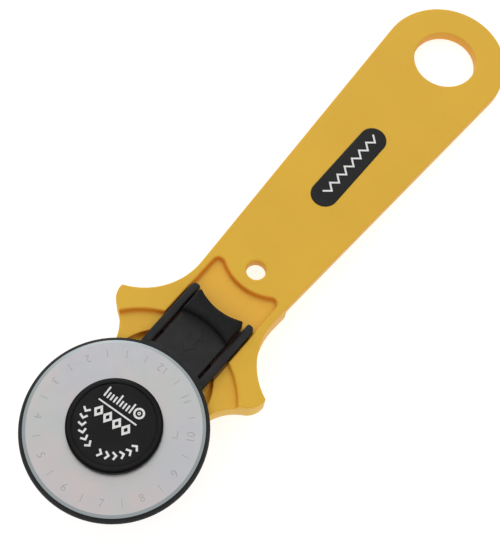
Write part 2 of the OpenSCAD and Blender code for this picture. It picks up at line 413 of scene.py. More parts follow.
def lathe(profile, segments, scallop=None):
    """Turns a closed profile of (radius, height, scallop weight) points about the hub axis."""
    turn = np.linspace(0, 2 * math.pi, segments, endpoint=False)
    dip = scallop(turn) if scallop else np.zeros(segments)
    verts = []
    for radius, height, weight in profile:
        r = radius - weight * dip
        verts.append(np.column_stack((r * np.cos(turn), r * np.sin(turn), np.full(segments, height))))
    rings = len(profile)
    faces = []
    for i in range(rings):
        j = (i + 1) % rings
        if profile[i][0] == 0 and profile[j][0] == 0:
            continue
        faces += [(i * segments + k, i * segments + (k + 1) % segments,
                   j * segments + (k + 1) % segments, j * segments + k) for k in range(segments)]
    return np.vstack(verts), faces


def fillet_points(r, z, radius, start, end, count, weight=0.0):
    """Points round a small arc in a lathe's profile."""
    return [(r + radius * math.cos(t), z + radius * math.sin(t), weight)
            for t in np.radians(np.linspace(start, end, count))]


# ---------------------------------------------------------------- materials

class Look:
    """A material's node tree, with short calls for the nodes that these looks share."""

    def __init__(self, name):
        self.material = bpy.data.materials.new(name)
        self.material.use_nodes = True
        self.tree = self.material.node_tree
        self.shader = self.tree.nodes["Principled BSDF"]
        self.place = self.node("ShaderNodeTexCoord").outputs["Object"]

    def node(self, kind, **settings):
        made = self.tree.nodes.new(kind)
        for key, value in settings.items():
            setattr(made, key, value)
        return made

    def wire(self, start, end):
        self.tree.links.new(start, end)

    def fixed(self, **values):
        for key, value in values.items():
            self.shader.inputs[key.replace("_", " ")].default_value = value

    def stretched(self, scale, turn=0.0):
        mapping = self.node("ShaderNodeMapping")
        mapping.inputs["Scale"].default_value = scale
        mapping.inputs["Rotation"].default_value = (0, 0, turn)
        self.wire(self.place, mapping.inputs["Vector"])
        return mapping.outputs["Vector"]

    def shade(self, name):
        return self.node("ShaderNodeAttribute", attribute_name=name).outputs["Fac"]

    def noise(self, per_metre, detail=3.0, rough=0.5, place=None):
        made = self.node("ShaderNodeTexNoise")
        made.inputs["Scale"].default_value = per_metre
        made.inputs["Detail"].default_value = detail
        made.inputs["Roughness"].default_value = rough
        self.wire(place or self.place, made.inputs["Vector"])
        return made.outputs["Fac"]

    def spread(self, value, low, high, to_low, to_high):
        made = self.node("ShaderNodeMapRange")
        limits = {"From Min": low, "From Max": high, "To Min": to_low, "To Max": to_high}
        for key, number in limits.items():
            made.inputs[key].default_value = number
        self.wire(value, made.inputs["Value"])
        return made.outputs["Result"]

    def blend(self, factor, first, second):
        made = self.node("ShaderNodeMix", data_type="RGBA")
        self.wire(factor, made.inputs[0])
        for socket, value in ((made.inputs[6], first), (made.inputs[7], second)):
            if isinstance(value, tuple):
                socket.default_value = (*value, 1)
            else:
                self.wire(value, socket)
        return made.outputs[2]

    def times(self, a, b):
        made = self.node("ShaderNodeMath", operation="MULTIPLY")
        self.wire(a, made.inputs[0])
        if isinstance(b, float):
            made.inputs[1].default_value = b
        else:
            self.wire(b, made.inputs[1])
        return made.outputs[0]

    def plus(self, a, b):
        made = self.node("ShaderNodeMath", operation="ADD")
        self.wire(a, made.inputs[0])
        self.wire(b, made.inputs[1])
        return made.outputs[0]

    def colour(self, socket):
        self.wire(socket, self.shader.inputs["Base Color"])

    def roughness(self, socket):
        self.wire(socket, self.shader.inputs["Roughness"])

    def shine(self, socket):
        self.wire(socket, self.shader.inputs["Specular IOR Level"])

    def bump(self, height, strength, distance):
        made = self.node("ShaderNodeBump")
        made.inputs["Strength"].default_value = strength
        made.inputs["Distance"].default_value = distance
        self.wire(height, made.inputs["Height"])
        self.wire(made.outputs["Normal"], self.shader.inputs["Normal"])


def yellow_plastic():
    """Satin plastic that lets some light through, with painted glow on its pocket floors and painted
    shade on its walls, corners and under the guard's slits.
    """
    look = Look("yellow_plastic")
    cloud = look.spread(look.noise(55, 4), 0.35, 0.65, 0, 1)
    tone = look.blend(cloud, (0.745, 0.440, 0.031), (0.718, 0.418, 0.030))
    # Painted glow: the pocket floors and the deep part are painted brighter and more orange
    tone = look.blend(look.shade("painted_glow"), tone, (0.835, 0.452, 0.043))
    tone = look.blend(look.shade("lit"), tone, (1.0, 0.56, 0.06))
    # Painted shade: walls, pocket corners and the deep part's rims are painted darker orange
    tone = look.blend(look.shade("painted_wall_shade"), tone, (0.700, 0.215, 0.006))
    # Painted shade: the floor under the guard's slits and beside its rails is painted nearly black
    tone = look.blend(look.shade("painted_gap_shade"), tone, (0.060, 0.012, 0.003))
    fleck = look.spread(look.noise(2600, 1), 0.70, 0.76, 0, 0.4)
    look.colour(look.blend(fleck, tone, (0.60, 0.35, 0.05)))
    look.roughness(look.spread(look.noise(420, 3), 0.3, 0.7, 0.44, 0.56))
    scratch = look.noise(90, 5, 0.7, look.stretched((1, 26, 4), 0.35))
    grain = look.plus(look.noise(1700, 2), look.times(look.spread(scratch, 0.5, 0.8, 0, 1), 0.6))
    look.bump(grain, 0.16, 0.00006)
    look.fixed(Subsurface_Weight=0.12, Subsurface_Radius=(0.0016, 0.0007, 0.0002), Subsurface_Scale=1.0)
    look.fixed(IOR=1.48, Specular_IOR_Level=0.4)
    return look.material


def black_plastic(name, tone, rough_low, rough_high, grain_size, strength, shine,
                  painted_shade=None, painted_shade_shine=0):
    """Moulded black plastic; the points of its optional shade attribute get painted shade: a darker
    colour and less shine.
    """
    look = Look(name)
    cloud = look.spread(look.noise(140, 4), 0.35, 0.7, 0, 1)
    lighter = tuple(1.5 * c + 0.002 for c in tone)
    base = look.blend(cloud, tone, lighter)
    dust = look.spread(look.noise(3800, 1), 0.72, 0.78, 0, 0.35)
    # Painted shade: the marked points are painted darker
    if painted_shade:
        base = look.blend(look.shade("painted_shade"), base, painted_shade)
    look.colour(look.blend(dust, base, (0.10, 0.10, 0.10)))
    look.roughness(look.spread(look.noise(500, 3), 0.3, 0.7, rough_low, rough_high))
    look.bump(look.noise(grain_size, 2), strength, 0.00006)
    look.fixed(IOR=1.5, Specular_IOR_Level=shine)
    # Painted shade: the marked points also shine less
    if painted_shade:
        look.shine(look.spread(look.shade("painted_shade"), 0, 1, shine, painted_shade_shine))
    return look.material


def ground_steel():
    """The blade: fine rings from grinding, the faint tints of a polished sheet, and painted shade on
    the bevel's ring.
    """
    look = Look("ground_steel")
    tint = look.spread(look.noise(85, 2), 0.38, 0.62, 0, 1)
    tint_b = look.spread(look.noise(60, 2, place=look.stretched((1, 1, 1), 2.0)), 0.4, 0.6, 0, 1)
    base = look.blend(tint, (0.60, 0.61, 0.60), (0.665, 0.605, 0.60))
    flat = look.blend(look.times(tint_b, 0.5), base, (0.57, 0.585, 0.645))
    # Painted shade: the bevel's ring is painted darker, standing in for the darker reflection it shows
    look.colour(look.blend(look.shade("bevel"), flat, (0.37, 0.405, 0.415)))
    look.roughness(look.spread(look.noise(300, 4), 0.3, 0.7, 0.30, 0.40))
    brushed = look.noise(260, 4, 0.6, look.stretched((1, 14, 1), 0.7))
    look.bump(look.plus(brushed, look.noise(5200, 1)), 0.10, 0.00003)
    look.fixed(Metallic=1.0)
    return look.material


def plain_metal(name, tone, dark, rough_low, rough_high):
    """Turned or rolled metal with faint stains."""
    look = Look(name)
    stain = look.spread(look.noise(380, 4), 0.35, 0.7, 0, 1)
    look.colour(look.blend(stain, tone, dark))
    look.roughness(look.spread(look.noise(900, 3), 0.3, 0.7, rough_low, rough_high))
    look.bump(look.noise(3000, 2, place=look.stretched((1, 1, 9))), 0.12, 0.00004)
    look.fixed(Metallic=1.0)
    return look.material


def print_ink(name, tone, worn):
    """Printed or etched marks, a little worn."""
    look = Look(name)
    wear = look.spread(look.noise(2300, 3), 0.42, 0.75, 0, 1)
    look.colour(look.blend(wear, tone, worn))
    look.roughness(look.spread(look.noise(900, 2), 0.3, 0.7, 0.42, 0.56))
    look.bump(look.noise(4200, 2), 0.15, 0.00003)
    return look.material


def floor_paper():
    """A lit pale sheet. It is clear from below, so that the underside can be looked at."""
    look = Look("floor_paper")
    look.colour(look.blend(look.noise(9, 3), (0.46, 0.46, 0.46), (0.44, 0.44, 0.44)))
    look.roughness(look.spread(look.noise(60, 3), 0.3, 0.7, 0.7, 0.85))
    look.bump(look.noise(700, 3), 0.05, 0.0002)
    look.fixed(Emission_Color=(1, 1, 1, 1), Emission_Strength=0.74, Specular_IOR_Level=0.2)
    clear = look.node("ShaderNodeBsdfTransparent").outputs[0]
    side = look.node("ShaderNodeNewGeometry").outputs["Backfacing"]
    mixed = look.node("ShaderNodeMixShader")
    look.wire(side, mixed.inputs[0])
    look.wire(look.shader.outputs[0], mixed.inputs[1])
    look.wire(clear, mixed.inputs[2])
    look.wire(mixed.outputs[0], look.tree.nodes["Material Output"].inputs["Surface"])
    return look.material


# ---------------------------------------------------------------- handle

# A rounded edge's radius, or the rim radius, wall width and floor fillet of a pocket's edge
HANDLE_EDGE = 0.3
HOLE_EDGE = 0.3
CORD_EDGE = 0.6
POCKET_EDGE = (0.6, 0.08, 0.45)
DEEP_EDGE = (0.3, 0.1, 0.8)
BOSS_EDGE = (0.3, 0.1, 0.6)
GROOVE_EDGE = (0.1, 0.05, 0.15)
SEAT_EDGE = (0.15, 0.05, 0.2)
STEP_EDGE = (0.3, 0.1, 0.5)
SPINE_EDGE = (0.15, 0.1, 0.25)

# Where the outlines of the back's steps end, well outside the handle
PAST_NOSE = -30
PAST_SIDE = 40


def make_handle(material):
    """The handle as two height fields over one plan: the front's pockets and the back's steps."""
    outline = handle_outline()
    bore = double_d(SHANK_R + 0.1, FLAT_HALF + 0.05)
    pin_hole = ((CORD_X, 0), CORD_R)
    hang_hole = ((HANG_X, 0), HANG_R)
    recess = (BADGE_X, BADGE_LENGTH + RECESS_GAP, BADGE_WIDTH + RECESS_GAP)

    def depth(points):
        return np.minimum.reduce((depth_in(points, outline), -depth_in(points, bore),
                                  -depth_in_circle(points, *pin_hole),
                                  -depth_in_circle(points, *hang_hole)))

    loops = [handle_outline(d) for d in edge_insets(HANDLE_EDGE)] + [bore]
    loops += [circle(hang_hole[0], HANG_R + d, 120) for d in edge_insets(HOLE_EDGE)]
    loops += [circle(pin_hole[0], CORD_R + d, 60) for d in edge_insets(CORD_EDGE)]
    loops += [channel_outline(d) for d in pocket_insets(*POCKET_EDGE)]
    loops += [circle((POCKET_X, 0), POCKET_R - d, 160) for d in pocket_insets(*POCKET_EDGE)]
    loops += [circle((DEEP_X, 0), DEEP_R - d, 100) for d in pocket_insets(*DEEP_EDGE)]
    loops += [circle((0, 0), BOSS_R + d, 60) for d in pocket_insets(*BOSS_EDGE)]
    loops += [stadium(*recess, d) for d in (-0.2, 0, RECESS_WALL)]
    loops += [circle((0, 0), SEAT_R - d, 90) for d in pocket_insets(*SEAT_EDGE)]
    loops += [rectangle(GROOVE_START + d, GROOVE_END - d, GROOVE_HALF - d)
              for d in pocket_insets(*GROOVE_EDGE)]
    step_insets = pocket_insets(*STEP_EDGE)
    loops += [rectangle(PAST_NOSE, THICK_END_X + d, PAST_SIDE) for d in step_insets]
    loops += [rectangle(PAST_NOSE, THICK_END_X + 2, SPINE_HALF + d) for d in step_insets]
    plan, faces = plan_of(loops, depth, 1.5)

    side = depth_in(plan, outline)
    hang = -depth_in_circle(plan, *hang_hole)
    pin = -depth_in_circle(plan, *pin_hole)
    edges = rounded(side, HANDLE_EDGE) + rounded(hang, HOLE_EDGE) + rounded(pin, CORD_EDGE)
    channel = depth_in(plan, channel_outline())
    guard_pocket = np.maximum(channel, depth_in_circle(plan, (POCKET_X, 0), POCKET_R))
    deep = np.minimum(depth_in_circle(plan, (DEEP_X, 0), DEEP_R),
                      -depth_in_circle(plan, (0, 0), BOSS_R))
    fade = falls(np.abs(plan[:, 1]), DEEP_END_Y, DEEP_FADE)
    groove = np.minimum.reduce((plan[:, 0] - GROOVE_START, GROOVE_END - plan[:, 0],
                                GROOVE_HALF - np.abs(plan[:, 1])))
    below = np.maximum(fade * sunk(deep, DEEP_DEPTH, *DEEP_EDGE),
                       sunk(groove, GROOVE_DEPTH, *GROOVE_EDGE))
    badge = RECESS_DEPTH * rises(depth_in(plan, stadium(*recess)), 0, RECESS_WALL)
    top = FRONT - sunk(guard_pocket, FRONT - FLOOR, *POCKET_EDGE) - below - badge - edges

    thin_part = plan[:, 0] - THICK_END_X
    off_spine = np.maximum(thin_part, np.abs(plan[:, 1]) - SPINE_HALF)
    seat = depth_in_circle(plan, (0, 0), SEAT_R)
    bottom = (HEAD_BACK + sunk(thin_part, GRIP_BACK - WING_BACK, *STEP_EDGE)
              + sunk(off_spine, WING_BACK - HEAD_BACK, *SPINE_EDGE)
              + sunk(seat, SEAT - HEAD_BACK, *SEAT_EDGE) + edges)
    verts, shell = solid_between(plan, faces, top, bottom)
    shades = handle_shades(plan, side, hang, pin, channel, guard_pocket, deep, fade)
    piece = new_piece("handle_shell", verts, shell, material, "handle", shades=shades)
    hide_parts("handle")


def handle_shades(plan, side, hang, pin, channel, guard_pocket, deep, fade):
    """Painted shade and painted glow on the plastic: a value for each point, front then back."""
    from_middle = np.abs(plan[:, 1])
    nothing = np.zeros(len(plan))

    # Painted shade: walls of the holes and the neck, corners of the pocket, rims of the deep part
    bores = 0.4 * falls(hang, 0.15, 0.15) + 0.12 * falls(pin, 0.15, 0.15)
    neck = 0.28 * falls(side, 0.12, 0.12) * rises(plan[:, 0], 33, 4)
    walls = np.maximum(bores, neck)
    near_side = np.where(channel > guard_pocket - 0.01, 0.15, 0.45)
    strength = near_side + rises(plan[:, 1], -10.2, 1.2) * (0.85 - near_side)
    corner = strength * rises(guard_pocket, -0.65, 0.5) * falls(guard_pocket, 0.8, 0.55)
    scoop = 0.95 * fade * rises(deep, -0.35, 0.25) * falls(deep, 1.3, 0.7)
    corner_shade = np.maximum(corner, scoop) * rises(side, 0, HANDLE_EDGE)

    # Painted glow: the channel's floor and the deep part are painted brighter and more orange, standing
    # in for light let through the plastic
    painted_glow = np.maximum(rises(channel, 0, 1), 0.35 * rises(guard_pocket, 0, 1))
    lit = fade * rises(deep, 0.1, 0.3) * (channel < 0)

    # Painted shade under the slits between the guard's rails and tongue, and beside the rails
    slit_y, gap_y = 7.8, 10.35
    slits = falls(np.abs(from_middle - slit_y), 1.9, 0.3)
    beside = 0.8 * falls(np.abs(from_middle - gap_y), 0.4, 0.15) * rises(plan[:, 0], 25, 0.5)
    painted_gap_shade = np.maximum(slits, beside) * falls(plan[:, 0], 41, 0.8) * (plan[:, 0] > 15)
    return (("painted_wall_shade", np.hstack((np.maximum(walls, corner_shade), walls))),
            ("painted_glow", np.hstack((painted_glow, nothing))),
            ("lit", np.hstack((lit, nothing))),
            ("painted_gap_shade", np.hstack((painted_gap_shade, nothing))))


def make_badge(material, ink):
    """The badge, with a printed zigzag stitch."""
    edge_r = 0.2
    outline = stadium(BADGE_X, BADGE_LENGTH, BADGE_WIDTH)
    loops = [stadium(BADGE_X, BADGE_LENGTH, BADGE_WIDTH, d) for d in edge_insets(edge_r)]
    plan, faces = plan_of(loops, lambda points: depth_in(points, outline), 1.5)
    top = BADGE_TOP - rounded(depth_in(plan, outline), edge_r)
    verts, shell = solid_between(plan, faces, top, np.full(len(plan), BADGE_BOTTOM))
    piece = new_piece("badge_plate", verts, shell, material, "handle")
    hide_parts("handle_badge")
    stitches, swing, thread = 15, 0.95, 0.5
    xs = np.linspace(BADGE_X - 10.6, BADGE_X + 12.3, stitches)
    zigzag = [(x, -swing if k % 2 else swing) for k, x in enumerate(xs)]
    print_marks("badge_print", [stroke(zigzag, thread)], BADGE_TOP, ink, "handle")


# ---------------------------------------------------------------- printed and etched marks

def stroke(points, width):
    """The outline of a line of this width through some points, with mitred corners."""
    points = np.array(points, float)
    ahead = np.diff(points, axis=0)
    ahead /= np.linalg.norm(ahead, axis=1)[:, None]
    before = np.vstack((ahead[:1], ahead))
    after = np.vstack((ahead, ahead[-1:]))
    middle = before + after
    middle /= np.linalg.norm(middle, axis=1)[:, None]
    reach = width / 2 / np.maximum(np.sum(middle * before, axis=1), 0.35)
    side = np.column_stack((-middle[:, 1], middle[:, 0])) * reach[:, None]
    return np.vstack((points + side, (points - side)[::-1]))


def turned(points, angle, centre=(0, 0)):
    """Turns points about the origin, then moves them to a centre."""
    t = math.radians(angle)
    spin = np.array([[math.cos(t), math.sin(t)], [-math.sin(t), math.cos(t)]])
    return np.asarray(points, float) @ spin + centre


def print_marks(name, outlines, height, material, body, thick=0.02, rings=()):
    """Lays thin marks on a face: filled outlines, and rings given as an outer and an inner loop."""
    verts, faces = [], []
    for outline in outlines:
        first, count = len(verts), len(outline)
        verts += [(*p, height + thick) for p in outline] + [(*p, height) for p in outline]
        faces.append(tuple(range(first, first + count)))
        faces.append(tuple(range(first + 2 * count - 1, first + count - 1, -1)))
        faces += [(first + k, first + count + k,
                   first + count + (k + 1) % count, first + (k + 1) % count) for k in range(count)]
    for outer, inner in rings:
        first, count = len(verts), len(outer)
        for z in (height + thick, height):
            verts += [(*p, z) for p in outer] + [(*p, z) for p in inner]
        for k in range(count):
            a, b = first + k, first + (k + 1) % count
            c, d = b + count, a + count
            faces += [(a, b, c, d), (a + 2 * count, d + 2 * count, c + 2 * count, b + 2 * count),
                      (a, a + 2 * count, b + 2 * count, b), (d, c, c + 2 * count, d + 2 * count)]
    new_piece(name, verts, faces, material, body, 30)


def cap_marks():
    """Sewing marks: two groups of chevrons, four quilt diamonds, a line, a bobbin and a ruler."""
    marks, rings = [], []
    chevron = stroke([(-0.95, -0.42), (0, 0.42), (0.95, -0.42)], 0.52)
    for start in (101.0, 195.0):
        for k in range(6):
            angle = start + k * 13.6
            marks.append(turned(chevron, angle, on_circle(7.8, angle)))
    lean = 4.5
    diamond = np.array([(-1.75, 0), (0, -1.32), (1.75, 0), (0, 1.32)])
    for k in range(4):
        spot = turned([(0.55, -3.1 + 2.75 * k)], lean)[0]
        rings.append((turned(diamond, lean, spot), turned(diamond * 0.42, lean, spot)))
    marks.append(turned(stroke([(3.0, 7.0), (3.0, -4.5)], 0.40), lean))
    bobbin = turned([(5.75, -3.3)], lean)[0]
    rings.append((circle(bobbin, 1.45, 40), circle(bobbin, 0.92, 40)))
    rings.append((circle(bobbin, 0.45, 24), circle(bobbin, 0.18, 24)))
    ruler_x = 4.35
    for k in range(9):
        y = -1.2 + 0.95 * k
        tick = 2.8 if k % 4 == 0 else 1.7
        marks.append(turned(stroke([(ruler_x, y), (ruler_x + tick, y)], 0.46), lean))
    return marks, rings


# ---------------------------------------------------------------- guard

def tongue_outline(inset=0.0):
    """The tongue, with the thumb pad's hollowed end."""
    return hollow_ended(TONGUE_START, TONGUE_HALF, TONGUE_CORNER_R,
                        PAD_END_X + PAD_END_R, PAD_END_R, inset)


def rail_outline(side, inset=0.0):
    """One rail, from inside the disc to its rounded end; side is 1 or -1."""
    outer_r, inner_r = 1.2, 0.5
    outer = arc((RAIL_END - outer_r, RAIL_OUT - outer_r), outer_r - inset, 90, 0, 10)
    inner = arc((RAIL_END - inner_r, RAIL_IN + inner_r), inner_r - inset, 0, -90, 15)
    loop = np.vstack(([[RAIL_PLAN_START, RAIL_OUT - inset]], outer,
                      inner, [[RAIL_PLAN_START, RAIL_IN + inset]]))
    return tidy_loop(loop * [1, side])


def arrow_outline(inset=0.0):
    """The tongue's double-headed arrow; its points move in further than its straight edges."""
    tip, barb = 3.9 - 1.6 * inset, 2.3 - 1.9 * inset
    shoulder, shaft = 1.0 + inset, 1.2 - inset
    half = np.array([(tip, 0), (shoulder, barb), (shoulder, shaft),
                     (-shoulder, shaft), (-shoulder, barb), (-tip, 0)])
    loop = np.vstack((half, half[-2:0:-1] * [1, -1]))
    return tidy_loop(loop + [ARROW_X, 0])


GUARD_EDGE = 0.98
RAIL_EDGE = 0.5
TONGUE_EDGE = 0.3
PAD_EDGE = 0.55
PAD_ROUND = 1.1
# How far outside a shape a point still counts as on it, and a height beyond all of them
TOUCH = 1e-4
FAR_OFF = 50.0


def make_guard(material):
    """The guard as two height fields over one plan, each the outermost of its shapes' own."""
    slot_half = HUB_R + SLOT_GAP
    slot = stadium(-TRAVEL / 2, TRAVEL + 2 * slot_half, 2 * slot_half)
    centre = (0, 0)

    def primitives(points):
        """Depth inside each of the shapes that the guard is made of."""
        root = np.minimum.reduce((depth_in_circle(points, centre, ROOT_R),
                                  RAIL_OUT - np.abs(points[:, 1]), points[:, 0] - ROOT_START))
        rails = np.maximum(depth_in(points, rail_outline(1)), depth_in(points, rail_outline(-1)))
        return (depth_in_circle(points, centre, GUARD_R), root, rails,
                depth_in(points, tongue_outline()))

    def depth(points):
        return np.minimum(np.maximum.reduce(primitives(points)), -depth_in(points, slot))

    loops = [circle(centre, GUARD_R - d, 200) for d in edge_insets(GUARD_EDGE)]
    loops += [circle(centre, ROOT_R - d, 200) for d in edge_insets(GUARD_EDGE)]
    for side in (1, -1):
        loops += [rail_outline(side, d) for d in edge_insets(RAIL_EDGE)]
    loops += [tongue_outline(d) for d in edge_insets(TONGUE_EDGE)]
    loops.append(rectangle(RAIL_START, RAIL_START + RAIL_RISE, RAIL_OUT + 0.5))
    loops += [slot, arrow_outline(), arrow_outline(ARROW_SLOPE), arrow_outline(0.2)]
    ramp = [PAD_FRONT_R - 0.2, PAD_FRONT_R - PAD_WALL]
    ramp += [PAD_FRONT_R + PAD_ROUND * (1 - math.cos(t)) for t in QUARTER]
    ramp.append(PAD_FRONT_R + PAD_ROUND + 0.2)
    for radius in ramp:
        bow = arc((PAD_TURN_X, 0), radius, -PAD_SWEEP, PAD_SWEEP, 1.5)
        back = arc((PAD_TURN_X, 0), radius + 0.002, PAD_SWEEP, -PAD_SWEEP, 1.5)
        loops.append(np.vstack((bow, back)))
    plan, faces = plan_of(loops, depth, 1.2)

    disc, root, rails, tongue = primitives(plan)
    reach = np.hypot(plan[:, 0] - PAD_TURN_X, plan[:, 1])
    on_pad = rises(reach, PAD_FRONT_R - PAD_WALL, PAD_WALL)
    rail_top = GUARD_TOP + rises(plan[:, 0], RAIL_START, RAIL_RISE) * (RAIL_TOP - GUARD_TOP)
    tops = ((disc, GUARD_TOP - rounded(disc, GUARD_EDGE)),
            (root, GUARD_TOP - rounded(root, GUARD_EDGE)),
            (rails, rail_top - rounded(rails, RAIL_EDGE)),
            (tongue, tongue_tops(plan, tongue, reach, on_pad)))
    unders = ((disc, GUARD_BOTTOM + rounded(disc, GUARD_EDGE)),
              (root, GUARD_BOTTOM + rounded(root, GUARD_EDGE)),
              (rails, GUARD_BOTTOM + rounded(rails, RAIL_EDGE)),
              (tongue, tongue_unders(plan, tongue)))
    top = np.maximum.reduce([np.where(d > -TOUCH, z, -FAR_OFF) for d, z in tops])
    bottom = np.minimum.reduce([np.where(d > -TOUCH, z, FAR_OFF) for d, z in unders])
    verts, shell = solid_between(plan, faces, top, bottom)
    # Painted shade on the thumb pad: darker and less shiny
    painted_shade = on_pad * (tongue > -TOUCH) * (rails < TOUCH)
    shades = (("painted_shade", np.hstack((painted_shade, np.zeros(len(plan))))),)
    piece = new_piece("guard_moulding", verts, shell, material, "guard", 48, shades)
    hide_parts("blade_guard")


def tongue_tops(plan, tongue, reach, on_pad):
    """Heights of the tongue's top: flat with a raised arrow, then the dished thumb pad."""
    climb = np.clip(PAD_FRONT_R + PAD_ROUND - reach, 0, PAD_ROUND)
    pad = PAD_TOP - PAD_ROUND + np.sqrt(PAD_ROUND ** 2 - climb ** 2)
    dish = DISH_DEPTH * np.exp(-((reach - DISH_R) / DISH_WIDTH) ** 2)
    pad_top = TONGUE_TOP + on_pad * (pad - dish - TONGUE_TOP)
    arrow = ARROW_HEIGHT * rises(depth_in(plan, arrow_outline()), 0, ARROW_SLOPE)
    edge = rounded(tongue, TONGUE_EDGE)
    wider = np.clip(rounded(tongue, PAD_EDGE) - edge, 0, 1)
    return pad_top + arrow - edge - on_pad * wider


def tongue_unders(plan, tongue):
    """Heights of the tongue's underside, with the detent's bump."""
    bump = np.minimum(BUMP_LONG - np.abs(plan[:, 0] - BUMP_X), BUMP_HALF - np.abs(plan[:, 1]))
    return (GUARD_BOTTOM + TONGUE_LIFT + rounded(tongue, TONGUE_EDGE)
            - BUMP_DEPTH * rises(bump, 0, BUMP_SLOPE))


# ---------------------------------------------------------------- blade and hub

def make_blade(material, etch):
    """The blade with its bevel, and the etched dial: ticks, a small tick mark and numbers."""
    segments = 360
    half, hole_r, bevel_r = BLADE_HALF, BLADE_HOLE_R, BLADE_R - BEVEL_WIDTH
    profile = [(hole_r, -half + 0.03), (hole_r + 0.03, -half), (bevel_r - 0.05, -half),
               (bevel_r, -half), (BLADE_R, -0.01), (BLADE_R, 0.01), (bevel_r, half),
               (bevel_r - 0.05, half), (hole_r + 0.03, half), (hole_r, half - 0.03)]
    verts, faces = lathe([(r, z, 0) for r, z in profile], segments)
    # Marks the bevel's ring for its painted shade
    bevel = np.repeat([1.0 if r > bevel_r - 0.01 else 0.0 for r, _ in profile], segments)
    shades = (("bevel", bevel),)
    piece = new_piece("blade_disc", verts, faces, material, "blade", 3, shades)
    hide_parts("blade")
    marks = [stroke([on_circle(DIAL_R - 1, angle), on_circle(DIAL_R + 1, angle)], 0.2)
             for angle in range(17, 360, 30)]
    marks.append(stroke([(7.0, -12.5), (7.6, -13.6), (9.2, -12.6)], 0.22))
    print_marks("blade_scale_ticks", marks, half, etch, "blade", ETCH_THICK)
    for number in range(1, 13):
        blade_number(number, 2 + 30 * number, etch)


def blade_number(number, angle, material):
    """One etched number of the dial, with its top towards the hub."""
    curve = bpy.data.curves.new("number", "FONT")
    curve.body = str(number)
    curve.size = 2.9
    curve.align_x = "CENTER"
    curve.align_y = "CENTER"
    curve.extrude = ETCH_THICK / 2
    curve.resolution_u = 3
    source = bpy.data.objects.new("number", curve)
    bpy.context.scene.collection.objects.link(source)
    bpy.context.view_layer.update()
    mesh = bpy.data.meshes.new_from_object(source)
    bpy.data.objects.remove(source)
    spot = Vector((*on_circle(DIAL_R, angle), BLADE_HALF + ETCH_THICK / 2))
    turn = Matrix.Rotation(math.radians(angle) + math.pi / 2, 4, "Z")
    mesh.transform(Matrix.Translation(HUB) @ Matrix.Scale(MM, 4) @ Matrix.Translation(spot) @ turn)
    mesh.materials.clear()
    mesh.materials.append(material)
    piece = bpy.data.objects.new(f"blade_number_{number:02d}", mesh)
    bpy.context.scene.collection.objects.link(piece)
    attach(piece, "blade")


def make_cap(material, ink):
    """The cap: a bore and a socket for the bolt, the blade's sleeve, a rounded rim and a face."""
    segments = 192
    bore_r, socket_r, socket_top = SHANK_R + 0.05, HEX_R + 0.02, HEX_TOP + 0.02
    face = CAP_TOP - CAP_SINK
    groove = face - CAP_STEP
    profile = [(0, socket_top, 0), (socket_r, socket_top, 0), (socket_r, HEX_UNDER, 0),
               (bore_r, HEX_UNDER, 0), (bore_r, FLOOR, 0),
               (HUB_R - 0.1, FLOOR, 0), (HUB_R, FLOOR + 0.1, 0), (HUB_R, CAP_UNDER, 0),
               (CAP_R - 0.2, CAP_UNDER, 0), (CAP_R, CAP_UNDER + 0.2, 0)]
    profile += fillet_points(CAP_R - CAP_EDGE, CAP_TOP - CAP_EDGE, CAP_EDGE, 0, 90, 9)
    profile += fillet_points(CAP_RIM_IN, CAP_TOP - CAP_STEP, CAP_STEP, 90, 180, 4)
    profile += [(10.55, groove, 0), (10.3, groove, 0), (10.15, face, 0), (9.9, face, 0), (0, face, 0)]
    verts, faces = lathe(profile, segments)
    radii = np.array([radius for radius, _, _ in profile])
    # Painted shade on the rim's outer fillet and side wall: darker and less shiny
    shades = (("painted_shade", np.repeat(rises(radii, CAP_R - 0.75, 0.5), segments)),)
    piece = new_piece("cap_moulding", verts, faces, material, "handle", 50, shades)
    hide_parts("bolt_cap")
    marks, rings = cap_marks()
    print_marks("cap_print", marks, face, ink, "handle", rings=rings)


def make_bolt(material):
    """The bolt: hexagonal head, round shank, then a screw thread with two flats."""
    around, per_pitch = 72, 10
    turn = np.linspace(0, 2 * math.pi, around, endpoint=False)
    hexagon = HEX_R * math.cos(math.pi / 6) / np.cos((turn + math.pi / 6) % (math.pi / 3) - math.pi / 6)
    shank = np.full(around, SHANK_R)
    flat = np.minimum(SHANK_R, FLAT_HALF / np.maximum(np.abs(np.sin(turn)), 1e-6))
    thread_top = NUT_TOP - 0.2
    rows = [(np.zeros(around), HEX_TOP), (hexagon - 0.25, HEX_TOP), (hexagon, HEX_TOP - 0.15),
            (hexagon, HEX_UNDER), (shank, HEX_UNDER), (shank, FLOOR),
            (flat, FLOOR - 0.001), (flat, thread_top)]
    steps = int((thread_top - BOLT_END) / PITCH * per_pitch)
    for k in range(1, steps + 1):
        z = thread_top - (thread_top - BOLT_END) * k / steps
        phase = (z / PITCH + turn / (2 * math.pi)) % 1.0
        groove = np.clip(0.62 * (1 - np.abs(2 * phase - 1)) * 1.4 - 0.2, 0, 0.5)
        lead_in = min(1.0, 3 * k / steps)
        chamfer = 0.5 * max(0.0, 1 - (z - BOLT_END) / 0.6)
        rows.append((np.minimum(SHANK_R - lead_in * groove - chamfer, flat), z))
    rows.append((np.zeros(around), BOLT_END))
    verts = np.vstack([np.column_stack((r * np.cos(turn), r * np.sin(turn), np.full(around, z)))
                       for r, z in rows])
    faces = [(i * around + k, i * around + (k + 1) % around,
              (i + 1) * around + (k + 1) % around, (i + 1) * around + k)
             for i in range(len(rows) - 1) for k in range(around)]
    piece = new_piece("bolt_thread", verts, faces, material, "handle", 35)
    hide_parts("bolt_shaft")


def scallops(turn):
    """Depth of the finger scallops round the knob."""
    wave = (turn * SCALLOPS / (2 * math.pi)) % 1.0
    off = np.minimum(wave, 1 - wave) * 2 * math.pi * NUT_R / SCALLOPS
    return np.clip(0.95 - 0.42 * off ** 2, 0, None) * 0.75


